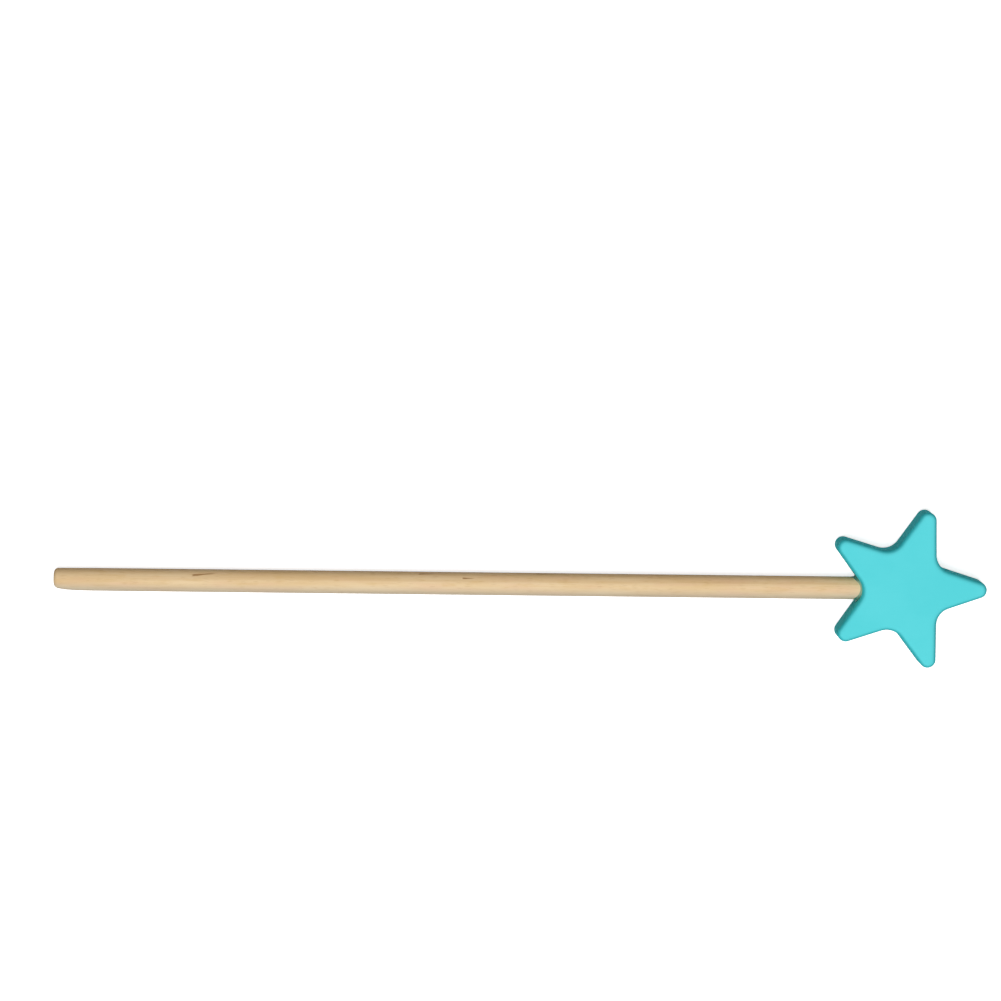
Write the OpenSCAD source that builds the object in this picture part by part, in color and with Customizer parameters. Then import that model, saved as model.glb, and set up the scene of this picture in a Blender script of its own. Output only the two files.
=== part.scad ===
// Toy magic wand: a thick painted wooden star glued onto the end of a plain round stick.
// Millimetres. +X runs along the stick towards the star, +Z leaves the front of the star,
// and the star's back lies on Z = 0.

/* [Stick] */
// Diameter of the round stick
stick_d = 8; // [6:0.5:9]
// Length of stick that shows, from the grip end to the star
stick_show = 282.5; // [180:0.5:400]
// Rounding sanded onto the rim of the grip end
grip_round = 1.5; // [0.5:0.1:2.5]

/* [Star] */
// Radius from the middle of the star to its round tips
star_r = 28.5; // [26:0.5:40]
// Thickness from the back to the front
star_t = 16; // [13:0.5:24]
// Angle between the two edges of a point
tip_angle = 36.8; // [33:0.2:42]
// Radius that rounds the tips, seen from the front
tip_round = 2.85; // [2.4:0.05:4]
// Radius that fills the valleys between the points
valley_round = 6.2; // [5.6:0.1:7.5]
// Rounding of the rim, where the front and the back meet the wall
edge_round = 2; // [0.5:0.1:2.3]

/* [Glued joint] */
// Depth of the stick inside the star, from the floor of the valley
seat_depth = 12; // [8:0.5:13]
// Thickness of the glue film around the seated stick
glue_film = 0.1; // [0.05:0.01:0.2]
// Length over which the squeezed-out glue rises from the seat to the size of the stick
glue_rise = 0.6; // [0.3:0.1:1]
// Glue between the end of the stick and the drill's shoulder
glue_pocket = 0.5; // [0.2:0.1:1]
// Chamfer that leads the stick into its hole
seat_chamfer = 0.8; // [0.3:0.1:1.5]
// Distance from the floor of the valley back to where the stick starts to thin
shoulder_back = 2.6; // [2.5:0.1:4]
// Length over which the stick thins to its seat
shoulder_taper = 1; // [0.7:0.1:2]
// Angle of the drill's point
drill_angle = 118; // [90:1:135]

/* [Hidden] */
$fn = 96;
beech = [0.86, 0.75, 0.58];
dried_glue = [0.86, 0.78, 0.58];
turquoise = [0.36, 0.84, 0.87];

// The star's outline: straight edges that run from a round tip into a round valley. Each arc
// is fuller than the edges by the lap, so that it crosses them instead of only touching them.
points = 5;
point_turn = 360 / points;
arc_lap = 0.03;
tip_half = tip_angle / 2;
valley_half = tip_half + point_turn / 2;
tip_sweep = 180 - tip_angle;
valley_sweep = 180 - 2 * valley_half;
tip_centre_r = star_r - tip_round;
apex_r = tip_centre_r + (tip_round - arc_lap) / sin(tip_half);
crotch_r = apex_r * sin(tip_half) / sin(valley_half);
valley_centre_r = crotch_r + (valley_round - arc_lap) / sin(valley_half);
valley_r = valley_centre_r - valley_round;

// The star is built as two like halves, front and back, that lap in the middle of its wall. The
// pieces of a half stand proud of its face, each by its own amount, until one cut planes both
// faces. That cut takes the crest off the rounding, whose wall side starts this far down.
plane_cut = 0.03;
round_start = edge_round - plane_cut;
crest_half = sqrt(2 * edge_round * plane_cut);
half_lap = 1;
half_wall = star_t / 2 - round_start + half_lap;
tip_proud = 0.4;
edge_proud = 0.6;
valley_proud = 0.8;
core_proud = 1;
billet_spare = 1;

// Depths behind the wall: the edges reach the middle of a tip, the valleys reach further in,
// and the core starts where the faces are flat.
edge_depth = tip_round - arc_lap;
valley_depth = 1.25 * tip_round;
core_depth = (edge_round + edge_depth) / 2;
core_tip = 0.4 * (tip_round - edge_round);
core_arc_steps = 8;
// Length by which an edge runs on into its valley, past the line where the two cross.
edge_run_on = 2 * sqrt(2 * valley_round * arc_lap);

// Places along the wand, whose middle is at X = 0.
overall = stick_show + valley_r + star_r;
grip_x = -overall / 2;
star_x = overall / 2 - star_r;
axis_z = star_t / 2;

// The stick, from its grip end at 0. The hole is drilled with a bit of the stick's own size,
// so the seat is thinner than the stick by the glue film.
stick_r = stick_d / 2;
seat_r = stick_r - glue_film;
shoulder_at = stick_show - shoulder_back;
seat_at = shoulder_at + shoulder_taper;
stick_l = stick_show + seat_depth;
hole_floor = stick_l + glue_pocket;
hole_tip = hole_floor + stick_r / tan(drill_angle / 2);

function on_circle(r, angle) = [r * cos(angle), r * sin(angle)];

// Direction, from the middle of a valley's arc, of a point along it: 0 at one edge, 1 at the next.
function valley_angle(share) = 180 + point_turn / 2 + valley_sweep * (0.5 - share);

// A point behind the wall of the valley that follows the point of the star at the given turn.
function valley_point(turn, depth, share) =
    on_circle(valley_centre_r, turn + point_turn / 2)
    + on_circle(valley_round - arc_lap + depth, turn + valley_angle(share));

// Section of the rim of one half: its back is at x = 0, its wall at x = depth and the start of
// its rounding at y = 0.
module rim_section(depth, proud) {
    top = round_start + proud;
    intersection() {
        translate([0, -half_wall]) square([depth, half_wall + top]);
        union() {
            translate([0, -half_wall]) square([depth, half_wall]);
            translate([0, -half_wall]) square([depth - edge_round + crest_half / 2, half_wall + top]);
            translate([depth - edge_round, 0]) circle(edge_round);
        }
    }
}

// Round tip of the point that lies along +X.
module tip_rim() {
    translate([tip_centre_r, 0, 0]) rotate_extrude() rim_section(tip_round, tip_proud);
}

// Straight edge of that point, from its valley to its tip.
module edge_rim() {
    valley_end = valley_point(0, 0, 0);
    tip_end = [tip_centre_r, 0] + on_circle(edge_depth, tip_sweep / 2);
    translate(valley_end)
        rotate(tip_sweep / 2)
            rotate([90, 0, 0])
                translate([-edge_depth, 0, -edge_run_on])
                    linear_extrude(norm(tip_end - valley_end) + edge_run_on)
                        rim_section(edge_depth, edge_proud);
}

// Hollow valley between that point and the next.
module valley_rim() {
    translate(on_circle(valley_centre_r, point_turn / 2))
        rotate(valley_angle(1))
            rotate_extrude(angle = valley_sweep)
                translate([valley_round + valley_depth, 0])
                    mirror([1, 0]) rim_section(valley_depth, valley_proud);
}

// Flat middle of one half, inside the rim.
module core() {
    translate([0, 0, -half_wall])
        linear_extrude(half_wall + round_start + core_proud)
            polygon([
                for (turn = [0 : point_turn : 360 - point_turn])
                    each [
                        on_circle(tip_centre_r + core_tip, turn),
                        for (step = [0 : core_arc_steps])
                            valley_point(turn, core_depth, step / core_arc_steps)
                    ]
            ]);
}

// Front half of the star, with the start of its rounding at z = 0.
module half_star() {
    core();
    for (turn = [0 : point_turn : 360 - point_turn])
        rotate(turn) {
            tip_rim();
            edge_rim();
            mirror([0, 1, 0]) edge_rim();
            valley_rim();
        }
}

// The star before it is drilled: both halves, planed to thickness.
module star_blank() {
    intersection() {
        cylinder(r = star_r + billet_spare, h = star_t);
        union() {
            translate([0, 0, star_t - round_start]) half_star();
            translate([0, 0, round_start]) mirror([0, 0, 1]) half_star();
        }
    }
}

// Turns a shape made along +Z into one along the stick, starting at the grip end.
module along_stick() {
    translate([grip_x, 0, axis_z]) rotate([0, 90, 0]) children();
}

// Natural beech dowel, with a rounded grip end and a thinner seat for the glue.
module stick() {
    color(beech)
        along_stick()
            rotate_extrude() {
                square([stick_r - grip_round, grip_round]);
                translate([stick_r - grip_round, grip_round])
                    intersection() {
                        circle(grip_round);
                        translate([0, -grip_round]) square(grip_round);
                    }
                polygon([
                    [0, grip_round],
                    [stick_r, grip_round],
                    [stick_r, shoulder_at],
                    [seat_r, seat_at],
                    [seat_r, stick_l - seat_chamfer],
                    [seat_r - seat_chamfer, stick_l],
                    [0, stick_l]
                ]);
            }
}

// Wood glue, set in the gap between the seat and the drilled hole, with a small bead at its mouth.
module glue_bond() {
    color(dried_glue)
        along_stick()
            rotate_extrude()
                polygon([
                    [seat_r, seat_at],
                    [stick_r, seat_at + glue_rise],
                    [stick_r, hole_floor],
                    [0, hole_tip],
                    [0, stick_l],
                    [seat_r - seat_chamfer, stick_l],
                    [seat_r, stick_l - seat_chamfer]
                ]);
}

// Painted wooden star, drilled from the valley that faces the stick.
module star() {
    color(turquoise)
        difference() {
            translate([star_x, 0, 0]) star_blank();
            along_stick()
                rotate_extrude()
                    polygon([
                        [0, shoulder_at],
                        [stick_r, shoulder_at],
                        [stick_r, hole_floor],
                        [0, hole_tip]
                    ]);
        }
}

stick();
glue_bond();
star();
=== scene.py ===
import math

import bmesh
import bpy
from mathutils import Color, Euler, Matrix, Vector


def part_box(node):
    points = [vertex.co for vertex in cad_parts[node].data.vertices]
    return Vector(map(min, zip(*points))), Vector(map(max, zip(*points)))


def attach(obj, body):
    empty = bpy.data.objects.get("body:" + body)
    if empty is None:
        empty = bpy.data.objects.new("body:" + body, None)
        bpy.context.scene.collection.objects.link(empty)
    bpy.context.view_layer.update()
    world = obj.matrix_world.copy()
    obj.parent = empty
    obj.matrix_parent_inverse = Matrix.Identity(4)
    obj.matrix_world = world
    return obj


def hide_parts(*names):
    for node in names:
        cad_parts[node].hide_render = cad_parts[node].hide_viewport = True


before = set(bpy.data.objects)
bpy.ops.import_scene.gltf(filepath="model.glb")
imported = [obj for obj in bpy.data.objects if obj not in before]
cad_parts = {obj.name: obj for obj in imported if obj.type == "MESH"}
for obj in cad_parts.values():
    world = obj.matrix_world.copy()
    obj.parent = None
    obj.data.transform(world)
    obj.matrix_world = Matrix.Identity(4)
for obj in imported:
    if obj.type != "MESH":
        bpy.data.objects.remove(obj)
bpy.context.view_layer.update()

# The stick: a plain beech dowel, machined round and left bare. Its grip end is rounded, more on one side,
# and its other end is turned a little thinner to take the glue in the star.
MM = 0.001
stick_low, stick_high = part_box("stick")
glue_low, glue_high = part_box("glue_bond")
stick_radius = (stick_high.z - stick_low.z) / 2
stick_z = (stick_high.z + stick_low.z) / 2
stick_sides = 128
grip_round = 1.5 * MM
grip_steps = 8
sanded_length = 8 * MM
sanded_depth = 0.9 * MM
thinned_length = 25 * MM
thinned_share = 0.035
body_steps = 24
glue_film = 0.1 * MM
shoulder_taper = 1 * MM
seat_past_glue = 3 * MM
seat_chamfer = 0.8 * MM


def turned(stations, sides, place):
    """A closed mesh of rings, with one point at either end. place(station, turn) gives each point."""
    shape = bmesh.new()
    rings = []
    for station in stations[1:-1]:
        turns = [2 * math.pi * side / sides for side in range(sides)]
        rings.append([shape.verts.new(place(station, turn)) for turn in turns])
    first = shape.verts.new(place(stations[0], 0))
    last = shape.verts.new(place(stations[-1], 0))
    for side in range(sides):
        after = (side + 1) % sides
        shape.faces.new((first, rings[0][after], rings[0][side]))
        for near, far in zip(rings, rings[1:]):
            shape.faces.new((near[side], near[after], far[after], far[side]))
        shape.faces.new((last, rings[-1][side], rings[-1][after]))
    bmesh.ops.recalc_face_normals(shape, faces=shape.faces)
    for face in shape.faces:
        face.smooth = True
    return shape


def piece(name, shape, material):
    """An object at the origin that holds the finished mesh."""
    mesh = bpy.data.meshes.new(name)
    shape.to_mesh(mesh)
    shape.free()
    mesh.materials.append(material)
    made = bpy.data.objects.new(name, mesh)
    bpy.context.scene.collection.objects.link(made)
    return made


class Socket:
    """One output of a node. Sums and products of sockets add the Math nodes that work them out."""

    def __init__(self, tree, output=None):
        self.tree = tree
        self.output = output

    def node(self, kind, settings=(), inputs=(), output=0):
        """Adds a node of any type: its settings come first, then the values or links of its sockets."""
        made = self.tree.nodes.new(kind)
        for name, value in dict(settings).items():
            setattr(made, name, value)
        for name, value in dict(inputs).items():
            for one in value if isinstance(value, list) else [value]:
                if isinstance(one, Socket):
                    self.tree.links.new(one.output, made.inputs[name])
                else:
                    made.inputs[name].default_value = one
        return Socket(self.tree, made.outputs[output] if made.outputs else None)

    def other(self, output):
        """Another output of the same node."""
        return Socket(self.tree, self.output.node.outputs[output])

    def math(self, operation, *values):
        """Adds a Math node for what has no sign in Python."""
        return self.node("ShaderNodeMath", {"operation": operation}, enumerate(values))

    def __add__(self, value):
        return self.math("ADD", self, value)

    def __radd__(self, value):
        return self.math("ADD", value, self)

    def __sub__(self, value):
        return self.math("SUBTRACT", self, value)

    def __rsub__(self, value):
        return self.math("SUBTRACT", value, self)

    def __mul__(self, value):
        return self.math("MULTIPLY", self, value)

    def __rmul__(self, value):
        return self.math("MULTIPLY", value, self)

    def __truediv__(self, value):
        return self.math("DIVIDE", self, value)


def chip(red, green, blue):
    """A colour as a screen shows it, from 0 to 255, made linear."""
    return (*Color((red / 255, green / 255, blue / 255)).from_srgb_to_scene_linear(), 1)


def smooth(value, start, end):
    """0 at start, 1 at end, with a soft passage between them."""
    ends = {"Value": value, "From Min": start, "From Max": end}
    return value.node("ShaderNodeMapRange", {"interpolation_type": "SMOOTHSTEP"}, ends)


def blend(share, low, high):
    """The colour low where share is 0 and high where it is 1."""
    return share.node("ShaderNodeMix", {"data_type": "RGBA"}, {0: share, 6: low, 7: high}, 2)


def stretched(place, along, y, z):
    """The place, with so many pattern units to the millimetre in each direction."""
    scale = (along / MM, y / MM, z / MM)
    return place.node("ShaderNodeVectorMath", {"operation": "MULTIPLY"}, {0: place, 1: scale})


def noise(place, detail=2.0, roughness=0.5):
    """Soft noise between 0 and 1 that varies with the place."""
    inputs = {"Vector": place, "Scale": 1.0, "Detail": detail, "Roughness": roughness}
    return place.node("ShaderNodeTexNoise", {}, inputs)


def new_material(name):
    """An empty material and a start for its nodes."""
    material = bpy.data.materials.new(name)
    material.use_nodes = True
    material.node_tree.nodes.clear()
    return material, Socket(material.node_tree)


def stick_point(station, turn):
    """A point of the stick. Its grip end is a little thinner, and sanded flatter on one side."""
    along, radius = station
    side = math.cos(turn)
    radius *= 1 - thinned_share * max(0, 1 - along / thinned_length) ** 2
    left_to_end = max(0, 1 - along / sanded_length)
    lift = sanded_depth * left_to_end**2 * max(0, -side) * radius / stick_radius
    return stick_low.x + along, side * radius + lift, stick_z + math.sin(turn) * radius


seat_start = glue_low.x - stick_low.x + seat_past_glue
shoulder = seat_start - shoulder_taper
stick_length = stick_high.x - stick_low.x
seat_radius = stick_radius - glue_film
stick_profile = [(0, 0), (0, (stick_radius - grip_round) / 2)]
for step in range(grip_steps + 1):
    turn = math.pi / 2 * step / grip_steps
    radius = stick_radius - grip_round * (1 - math.sin(turn))
    stick_profile.append((grip_round * (1 - math.cos(turn)), radius))
for step in range(1, body_steps + 1):
    share = (step / body_steps) ** 1.5
    stick_profile.append((grip_round + (shoulder - grip_round) * share, stick_radius))
stick_profile += [
    (seat_start, seat_radius),
    (stick_length - seat_chamfer, seat_radius),
    (stick_length, seat_radius - seat_chamfer),
    (stick_length, 0),
]

beech_pale = chip(233, 207, 165)
beech_warm = chip(225, 194, 146)
beech_pink = chip(228, 191, 153)
beech_gold = chip(216, 181, 124)
late_wood = chip(198, 161, 110)
fleck_brown = chip(168, 122, 76)
mineral_brown = chip(142, 98, 50)
# Painted light and shade for the stick: a paler grey for the side towards the lamp and a darker gold for the
# side away from it.
painted_reflection_beech = chip(196, 192, 180)
painted_shade_beech = chip(190, 145, 85)
pith_y = 11.0
pith_z = -41.0
ring_width = 1.7
# Dark mineral streaks: distance from the grip end, length and width in millimetres, turn from the top to
# one side in degrees, and how much they climb round the stick along their length.
mineral_streaks = [
    (53, 10, 0.8, 40, 0.11),
    (130.6, 7, 0.6, 60, 0.03),
    (145, 5, 0.5, 33, 0.0),
    (173.5, 11, 0.5, 72, 0.02),
]


def beech():
    """Beech all through: rings round a pith beside the stick, fibres and short ray flecks along it."""
    material, start = new_material("beech")
    place = start.node("ShaderNodeTexCoord", output="Object")
    split = place.node("ShaderNodeSeparateXYZ", {}, {0: place})
    along = (split - stick_low.x) / MM
    y = split.other("Y") / MM
    z = (split.other("Z") - stick_z) / MM

    wander = noise(stretched(place, 0.012, 0.05, 0.05), 2)
    pith_side = y - pith_y - along * 0.012 + wander * 5
    pith_up = z - pith_z
    radius = place.math("SQRT", pith_side * pith_side + pith_up * pith_up)
    sweep = place.math("ARCTAN2", pith_side, pith_up)
    year = place.math("FRACT", radius / ring_width)
    late = smooth(year, 0.45, 0.93) * smooth(year, 1.0, 0.95)

    fibre = noise(stretched(place, 0.05, 3.2, 3.2), 5, 0.62)
    tone = noise(stretched(place, 0.03, 0.28, 0.28), 3)
    mottle = noise(stretched(place, 0.16, 0.7, 0.7), 3, 0.6)
    blush = noise(stretched(place, 0.05, 0.3, 0.3), 2)

    ray_sides = {0: along * 0.24, 1: sweep * 150.0, 2: radius * 0.3}
    ray_place = place.node("ShaderNodeCombineXYZ", {}, ray_sides)
    ray = place.node("ShaderNodeTexVoronoi", {}, {"Vector": ray_place, "Scale": 1.0, "Randomness": 1.0})
    chosen = place.node("ShaderNodeSeparateColor", {}, {0: ray.other("Color")})
    fleck = smooth(ray, 0.36, 0.12) * smooth(chosen, 0.42, 0.7)

    streak = 0.0
    turn = place.math("ARCTAN2", y, z)
    ragged = noise(stretched(place, 0.5, 1.5, 1.5), 3) - 0.5
    for far, length, width, degrees, climb in mineral_streaks:
        onward = along - far
        end = onward / (length / 2)
        aside = (turn - math.radians(degrees)) * (stick_radius / MM) - onward * climb + ragged * 0.35
        across = place.math("ABSOLUTE", aside) / (width / 2)
        one = smooth(across + end * 0.5, 1.1, 0.2) * smooth(end, -1.0, -0.8) * smooth(end, 1.0, 0.2)
        streak = one + streak

    colour = blend(smooth(tone, 0.3, 0.7), beech_warm, beech_pale)
    colour = blend(smooth(blush, 0.48, 0.72) * 0.6, colour, beech_pink)
    colour = blend(smooth(mottle, 0.5, 0.72) * 0.4, colour, beech_gold)
    colour = blend(late * 0.2 + smooth(fibre, 0.52, 0.3) * 0.24, colour, late_wood)
    colour = blend(fleck * 0.28, colour, fleck_brown)
    end_grain = smooth(along, 1.2, 0.1)
    colour = blend(end_grain * 0.2, colour, late_wood)
    # Painted light and shade: the side towards the lamp is painted paler and greyer, as light and the white
    # table's reflection make it, and the far side is painted darker, as shade.
    colour = blend(smooth(y, 0.0, -4.0) * 0.5, colour, painted_reflection_beech)
    colour = blend(smooth(y, 0.0, 4.0) * 0.3, colour, painted_shade_beech)
    colour = blend(place.math("MINIMUM", streak, 1.0) * 0.8, colour, mineral_brown)

    pore = noise(stretched(place, 0.4, 9, 9), 3, 0.6)
    height = fibre * 0.6 + smooth(pore, 0.42, 0.6) * 0.4 - fleck * 0.15
    bump = place.node("ShaderNodeBump", {}, {"Strength": 0.5, "Distance": 0.00006, "Height": height})
    shader = place.node("ShaderNodeBsdfPrincipled", {}, {
        "Base Color": colour,
        "Roughness": 0.5 + fibre * 0.22 - fleck * 0.08,
        "Specular IOR Level": 0.25,
        "Normal": bump,
    })
    place.node("ShaderNodeOutputMaterial", {}, {"Surface": shader})
    return material


stick = piece("beech_stick", turned(stick_profile, stick_sides, stick_point), beech())
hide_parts("stick")
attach(stick, "root")

# The glue: wood glue brushed into the drilled hole. It fills the gap round the seat and the point of the
# drill. A small dark fillet of it is squeezed out where the stick enters the star, fuller at both sides.
star_low, star_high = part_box("star")
points = 5
tip_round = 2.85 * MM
tip_angle = math.radians(36.8)
valley_round = 6.2 * MM
tip_centre = ((star_high.y - star_low.y) / 2 - tip_round) / math.sin(2 * math.pi / points)
star_x = star_high.x - tip_centre - tip_round
sharp_tip = tip_centre + tip_round / math.sin(tip_angle / 2)
valley_half = tip_angle / 2 + math.pi / points
sharp_valley = sharp_tip * math.sin(tip_angle / 2) / math.sin(valley_half)
valley_x = star_x - sharp_valley - valley_round / math.sin(valley_half)
star_turn = math.radians(0.8)
valley_aside = (star_x - valley_x - valley_round) * star_turn
drill_angle = math.radians(118)
hole_floor = glue_high.x - stick_radius / math.tan(drill_angle / 2)
glue_sides = 128
fillet_rise = 0.4 * MM
fillet_length = 0.6 * MM
fillet_swell = 1.9
# The glue from the drill's point to the middle of the stick's end: whether a place is counted from the
# mouth of the hole, how far along it is, and its radius. The fillet's rim lies just inside the wall, so that
# no gap shows behind it.
glue_profile = [
    (False, glue_high.x, 0),
    (False, hole_floor, stick_radius),
    (True, 0, stick_radius),
    (True, 0.1 * fillet_length, stick_radius + fillet_rise),
    (True, -0.2 * fillet_length, stick_radius + 0.42 * fillet_rise),
    (True, -0.5 * fillet_length, stick_radius + 0.14 * fillet_rise),
    (True, -fillet_length, stick_radius + 0.03 * fillet_rise),
    (True, -fillet_length, seat_radius),
    (False, stick_high.x - seat_chamfer, seat_radius),
    (False, stick_high.x, seat_radius - seat_chamfer),
    (False, stick_high.x, 0),
]
glue_dark = chip(46, 106, 92)
glue_pale = chip(140, 164, 136)


def valley_wall(y):
    """How far along the wand the valley's wall is, at this distance to the side of the stick's middle."""
    y += valley_aside
    if abs(y) < valley_round * math.cos(valley_half):
        return valley_x + math.sqrt(valley_round**2 - y**2)
    return star_x - sharp_valley - abs(y) / math.tan(valley_half)


def glue_point(station, turn):
    """A point of the glue. The fillet is uneven, and fuller where the valley closes in on the stick."""
    at_mouth, along, radius = station
    side = math.cos(turn)
    if at_mouth:
        full = 1 + 0.12 * math.sin(3 * turn + 0.7) + 0.06 * math.sin(7 * turn + 2.1)
        full *= 1 + fillet_swell * side**2
        radius += max(0, radius - stick_radius) * (full - 1)
        along = along * full + valley_wall(side * radius)
    return along, side * radius, stick_z + math.sin(turn) * radius


def dried_glue():
    """Dried wood glue: hardly glossy, dark green at both sides of the stick and paler over and under it."""
    material, start = new_material("dried_glue")
    place = start.node("ShaderNodeTexCoord", output="Object")
    split = place.node("ShaderNodeSeparateXYZ", {}, {0: place})
    cloud = noise(stretched(place, 0.6, 0.6, 0.6), 3)
    aside = place.math("ABSOLUTE", split.other("Y")) / stick_radius
    # Darker towards both sides of the stick, paler over and under it.
    toward_sides = smooth(aside + (cloud - 0.5) * 0.6, 0.4, 1.0)
    ripple = noise(stretched(place, 1.5, 1.5, 1.5), 2)
    bump = place.node("ShaderNodeBump", {}, {"Strength": 0.4, "Distance": 0.0001, "Height": ripple})
    shader = place.node("ShaderNodeBsdfPrincipled", {}, {
        "Base Color": blend(toward_sides, glue_pale, glue_dark),
        "Roughness": 0.4 + cloud * 0.2,
        "Specular IOR Level": 0.2,
        "Normal": bump,
    })
    place.node("ShaderNodeOutputMaterial", {}, {"Surface": shader})
    return material


glue = piece("dried_glue", turned(glue_profile, glue_sides, glue_point), dried_glue())
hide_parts("glue_bond")
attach(glue, "root")

# The star: sawn from a thick board, its rim rounded over and sanded, then sprayed with turquoise paint.
# It is drilled from one valley, and the stick is glued into that hole.
bore_start = glue_low.x - shoulder_taper
bore_play = 0.02 * MM
arc_steps = 28
edge_steps = 14
bore_sides = 128
weld = 0.001 * MM
sharp_angle = math.radians(35)
star_sizes = {
    "Points": points,
    "Sharp Tip": sharp_tip,
    "Sharp Valley": sharp_valley,
    "Tip Round": tip_round,
    "Valley Round": valley_round,
    "Thickness": star_high.z - star_low.z,
    "Edge Round": 2 * MM,
    "Flat Border": 0.5 * MM,
    "Turn On Stick": star_turn,
    "Bore Radius": stick_radius + bore_play,
    "Bore Middle": (hole_floor + bore_start) / 2 - star_x,
    "Bore Length": hole_floor - bore_start,
    "Drill Point": glue_high.x - hole_floor,
}
star_middle = Vector((star_x, 0, (star_high.z + star_low.z) / 2))
wall_height = star_sizes["Thickness"] - 2 * star_sizes["Edge Round"]
paint_turquoise = chip(86, 213, 220)
paint_pale = chip(96, 219, 226)
# Painted shade: a darker teal for a band along the rounded edges.
painted_edge_shade = chip(44, 152, 160)
paint_wall = chip(46, 212, 218)


def turquoise_paint():
    """Sprayed matte paint: even, with soft clouds, the fine grain of the spray and that of the wood, and
    painted shade along the rounded edges.
    """
    material, start = new_material("turquoise_paint")
    place = start.node("ShaderNodeTexCoord", output="Object")
    cloud = noise(stretched(place, 0.05, 0.05, 0.05), 3)
    grain = noise(stretched(place, 0.06, 0.9, 0.9), 4, 0.6)
    spray = noise(stretched(place, 2.2, 2.2, 2.2), 2)
    split = place.node("ShaderNodeSeparateXYZ", {}, {0: place})
    from_middle = place.math("ABSOLUTE", split.other("Z") - star_middle.z)
    over_edge = (from_middle - wall_height / 2) / star_sizes["Edge Round"]
    over_edge = place.math("MAXIMUM", over_edge, 0)
    rim = place.math("SQRT", 1 - over_edge * over_edge)
    # Painted shade: the rounded edges are darkened in a band, where they curve away from the light.
    edge = smooth(rim + (grain - 0.5) * 0.3, 0.4, 0.85) * smooth(rim, 1.0, 0.88)
    colour = blend(smooth(cloud, 0.3, 0.7) * 0.6 + grain * 0.3, paint_turquoise, paint_pale)
    colour = blend(smooth(rim, 0.5, 1.0) * 0.85, colour, paint_wall)
    colour = blend(edge * 0.4, colour, painted_edge_shade)
    height = grain * 0.7 + spray * 0.3
    bump = place.node("ShaderNodeBump", {}, {"Strength": 0.25, "Distance": 0.00008, "Height": height})
    shader = place.node("ShaderNodeBsdfPrincipled", {}, {
        "Base Color": colour,
        "Roughness": 0.72 + spray * 0.1,
        "Specular IOR Level": 0.14,
        "Normal": bump,
    })
    place.node("ShaderNodeOutputMaterial", {}, {"Surface": shader})
    return material


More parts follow.
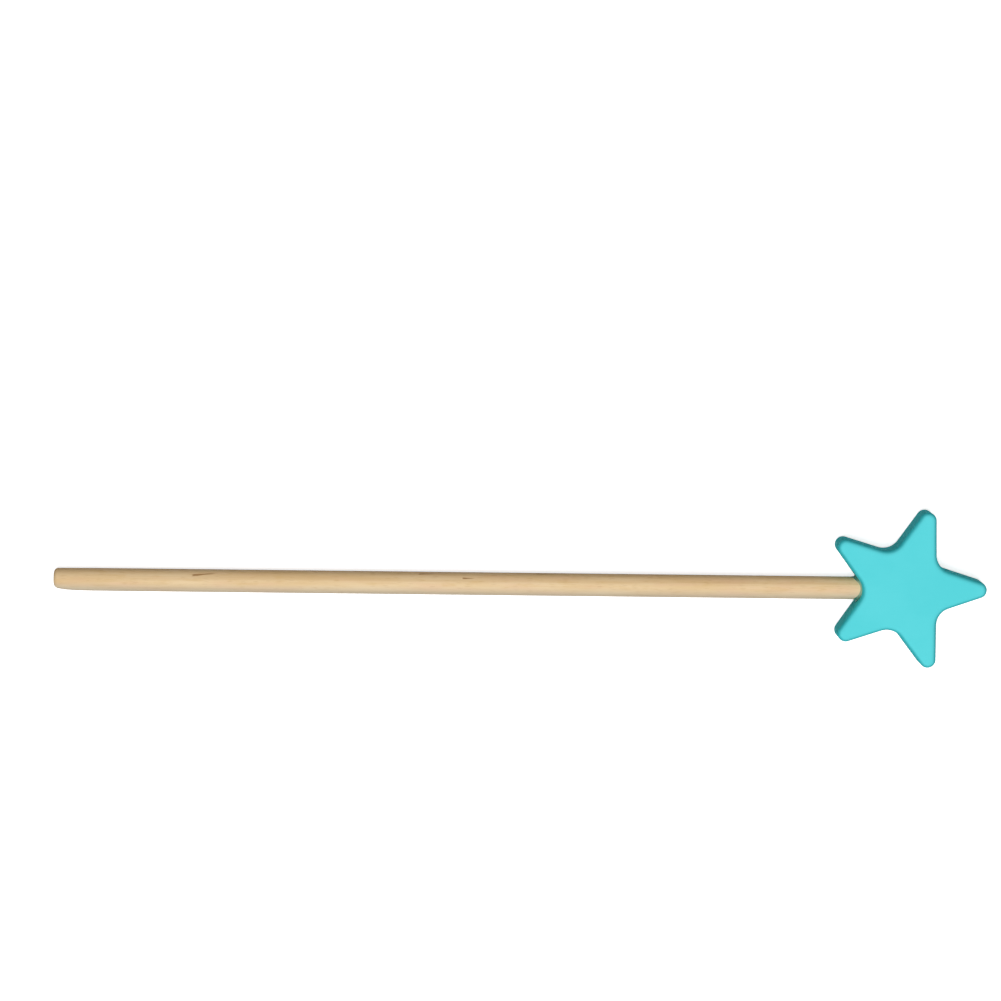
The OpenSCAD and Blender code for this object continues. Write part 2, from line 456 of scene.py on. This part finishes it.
def rounded_star(sizes, material):
    """The star's rule: a round-cornered outline, a rounded rim swept along it, two flats and a bore."""
    tree = bpy.data.node_groups.new("rounded_star", "GeometryNodeTree")
    for name, value in sizes.items():
        kind = "NodeSocketInt" if isinstance(value, int) else "NodeSocketFloat"
        tree.interface.new_socket(name, in_out="INPUT", socket_type=kind)
    tree.interface.new_socket("Star", in_out="OUTPUT", socket_type="NodeSocketGeometry")
    start = Socket(tree).node("NodeGroupInput")
    size = {name: start.other(name) for name in sizes}
    half = size["Thickness"] / 2

    sharp = start.node("GeometryNodeCurveStar", {}, {
        "Points": size["Points"],
        "Inner Radius": size["Sharp Valley"],
        "Outer Radius": size["Sharp Tip"],
    })
    corner = start.node("GeometryNodeSwitch", {"input_type": "FLOAT"}, {
        "Switch": sharp.other("Outer Points"),
        "False": size["Valley Round"],
        "True": size["Tip Round"],
    })
    outline = start.node("GeometryNodeFilletCurve", {"mode": "POLY"}, {
        "Curve": sharp,
        "Count": arc_steps,
        "Radius": corner,
    })
    outline = start.node("GeometryNodeReverseCurve", {}, {"Curve": outline})
    outline = start.node("GeometryNodeSetCurveNormal", {"mode": "Z_UP"}, {"Curve": outline})

    depth = size["Edge Round"] + size["Flat Border"]
    section = start.node("GeometryNodeCurvePrimitiveQuadrilateral", {}, {
        "Width": depth,
        "Height": size["Thickness"],
    })
    section = start.node("GeometryNodeSetSplineCyclic", {}, {"Geometry": section, "Cyclic": False})
    section = start.node("GeometryNodeFilletCurve", {"mode": "POLY"}, {
        "Curve": section,
        "Count": edge_steps,
        "Radius": size["Edge Round"],
    })
    inward = start.node("ShaderNodeCombineXYZ", {}, {"X": depth / 2})
    section = start.node("GeometryNodeTransform", {}, {"Geometry": section, "Translation": inward})
    rim = start.node("GeometryNodeCurveToMesh", {}, {"Curve": outline, "Profile Curve": section})

    place = start.node("ShaderNodeSeparateXYZ", {}, {0: start.node("GeometryNodeInputPosition")})
    above = start.node("FunctionNodeCompare", {"operation": "GREATER_THAN"}, {0: place.other("Z"), 1: 0})
    faces = start.node("GeometryNodeInputMeshEdgeNeighbors")
    just_one = {"data_type": "INT", "operation": "EQUAL"}
    open_edge = start.node("FunctionNodeCompare", just_one, {2: faces, 3: 1})
    front = start.node("FunctionNodeBooleanMath", {"operation": "AND"}, {0: open_edge, 1: above})
    border = start.node("GeometryNodeMeshToCurve", {}, {"Mesh": rim, "Selection": front})
    flat = start.node("GeometryNodeFillCurve", {"mode": "NGONS"}, {"Curve": border})
    flats = []
    for height in (half, 0 - half):
        level = start.node("ShaderNodeCombineXYZ", {}, {0: place, 1: place.other("Y"), 2: height})
        flats.append(start.node("GeometryNodeSetPosition", {}, {"Geometry": flat, "Position": level}))
    flats[1] = start.node("GeometryNodeFlipFaces", {}, {"Mesh": flats[1]})
    blank = start.node("GeometryNodeJoinGeometry", {}, {"Geometry": [rim, *flats]})
    blank = start.node("GeometryNodeMergeByDistance", {}, {"Geometry": blank, "Distance": weld})
    turn = start.node("ShaderNodeCombineXYZ", {}, {"Z": size["Turn On Stick"]})
    blank = start.node("GeometryNodeTransform", {}, {"Geometry": blank, "Rotation": turn})

    drill = start.node("GeometryNodeMeshCylinder", {"fill_type": "TRIANGLE_FAN"}, {
        "Vertices": bore_sides,
        "Radius": size["Bore Radius"],
        "Depth": size["Bore Length"],
    })
    from_axis = start.math("SQRT", place * place + place.other("Y") * place.other("Y"))
    on_axis = start.node("FunctionNodeCompare", {"operation": "LESS_THAN"}, {0: from_axis, 1: weld})
    point = start.node("FunctionNodeBooleanMath", {"operation": "AND"}, {0: on_axis, 1: above})
    reach = start.node("ShaderNodeCombineXYZ", {}, {"Z": size["Drill Point"]})
    drill = start.node("GeometryNodeSetPosition", {}, {
        "Geometry": drill,
        "Selection": point,
        "Offset": reach,
    })
    aside = start.node("ShaderNodeCombineXYZ", {}, {"X": size["Bore Middle"]})
    drill = start.node("GeometryNodeTransform", {}, {
        "Geometry": drill,
        "Translation": aside,
        "Rotation": (0, math.pi / 2, 0),
    })
    star = start.node("GeometryNodeMeshBoolean", {"operation": "DIFFERENCE", "solver": "EXACT"}, {
        "Mesh 1": blank,
        "Mesh 2": drill,
    })

    bend = start.node("GeometryNodeInputMeshEdgeAngle")
    crease = start.node("FunctionNodeCompare", {"operation": "GREATER_THAN"}, {0: bend, 1: sharp_angle})
    star = start.node("GeometryNodeSetShadeSmooth", {"domain": "FACE"}, {
        "Geometry": star,
        "Shade Smooth": True,
    })
    star = start.node("GeometryNodeSetShadeSmooth", {"domain": "EDGE"}, {
        "Geometry": star,
        "Selection": crease,
        "Shade Smooth": False,
    })
    star = start.node("GeometryNodeTransform", {}, {"Geometry": star, "Translation": star_middle})
    star = start.node("GeometryNodeRealizeInstances", {}, {"Geometry": star})
    star = start.node("GeometryNodeSetMaterial", {}, {"Geometry": star, "Material": material})
    start.node("NodeGroupOutput", {}, {"Star": star})
    return tree


def grown(name, tree, sizes):
    """An object with the plain mesh that a Geometry Nodes tree makes of its named inputs."""
    made = bpy.data.objects.new(name, bpy.data.meshes.new(name))
    bpy.context.scene.collection.objects.link(made)
    modifier = made.modifiers.new(name, "NODES")
    modifier.node_group = tree
    for item in tree.interface.items_tree:
        if item.in_out == "INPUT":
            modifier[item.identifier] = sizes[item.name]
    graph = bpy.context.evaluated_depsgraph_get()
    mesh = bpy.data.meshes.new_from_object(made.evaluated_get(graph))
    made.modifiers.remove(modifier)
    made.data = mesh
    return made


star = grown("painted_star", rounded_star(star_sizes, turquoise_paint()), star_sizes)
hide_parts("star")
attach(star, "root")

# The set: a white table, a large soft light almost above it and a camera high over it. The table is
# tilted a little, because the wand rests on its star and grip end.
half_floor = 4.0
floor_white = chip(236, 236, 236)
floor_bounce = chip(125, 125, 125)
floor_glow = 0.7
air_dim = 0.18
star_rest_x = star_low.x + star_sizes["Edge Round"]
grip_rest_x = stick_low.x + grip_round
rest_slope = (stick_z - stick_radius) / (star_rest_x - grip_rest_x)
key_place = (-0.04, -0.24, 1.5)
key_size = 0.8
key_watts = 20.3


def seen_or_lit(start, unseen, shown):
    """One shader for light that goes to the camera or a reflection, another for light on the object."""
    path = start.node("ShaderNodeLightPath")
    seen = path.math("MAXIMUM", path, path.other("Is Glossy Ray"))
    seen = path.math("MAXIMUM", seen, path.other("Is Transmission Ray"))
    return path.node("ShaderNodeMixShader", {}, {0: seen, 1: unseen, 2: shown})


def white_table():
    """A white table: bright to the camera, with the object's shadow on it, and dimmer as a light."""
    material, start = new_material("white_table")
    lit = start.node("ShaderNodeBsdfDiffuse", {}, {"Color": floor_white})
    glow = start.node("ShaderNodeEmission", {}, {"Strength": floor_glow})
    shown = start.node("ShaderNodeAddShader", {}, {0: lit, 1: glow})
    unseen = start.node("ShaderNodeBsdfDiffuse", {}, {"Color": floor_bounce})
    start.node("ShaderNodeOutputMaterial", {}, {"Surface": seen_or_lit(start, unseen, shown)})
    return material


table = bmesh.new()
for x, y in ((-1, -1), (1, -1), (1, 1), (-1, 1)):
    corner = Vector((x * half_floor, y * half_floor, 0))
    corner.z = (star_rest_x - corner.x) * rest_slope
    table.verts.new(corner)
table.faces.new(table.verts)
floor = piece("table", table, white_table())

world = bpy.data.worlds.new("studio")
world.use_nodes = True
world.node_tree.nodes.clear()
air = Socket(world.node_tree)
dim = air.node("ShaderNodeBackground", {}, {"Color": (1, 1, 1, 1), "Strength": air_dim})
white = air.node("ShaderNodeBackground", {}, {"Color": (1, 1, 1, 1), "Strength": 1})
air.node("ShaderNodeOutputWorld", {}, {"Surface": seen_or_lit(air, dim, white)})
bpy.context.scene.world = world

lamp = bpy.data.lights.new("soft_light", "AREA")
lamp.shape = "DISK"
lamp.size = key_size
lamp.energy = key_watts
light = bpy.data.objects.new("soft_light", lamp)
light.location = key_place
light.rotation_euler = (-Vector(key_place)).to_track_quat("-Z", "Y").to_euler()
bpy.context.scene.collection.objects.link(light)

photo_side = 1001
focal_pixels = 4000
camera_distance = 1.4059
camera_aim = (-0.00713, 0.02862, 0)
camera_turn = Euler((math.radians(-4.965), math.radians(-0.871), math.radians(0.749)))
lens = bpy.data.cameras.new("camera")
lens.sensor_width = 36
lens.lens = lens.sensor_width * focal_pixels / photo_side
camera = bpy.data.objects.new("camera", lens)
camera.matrix_world = (
    Matrix.Translation(camera_aim)
    @ camera_turn.to_matrix().to_4x4()
    @ Matrix.Translation((0, 0, camera_distance))
)
bpy.context.scene.collection.objects.link(camera)
bpy.context.scene.camera = camera
bpy.context.scene.view_settings.view_transform = "Standard"
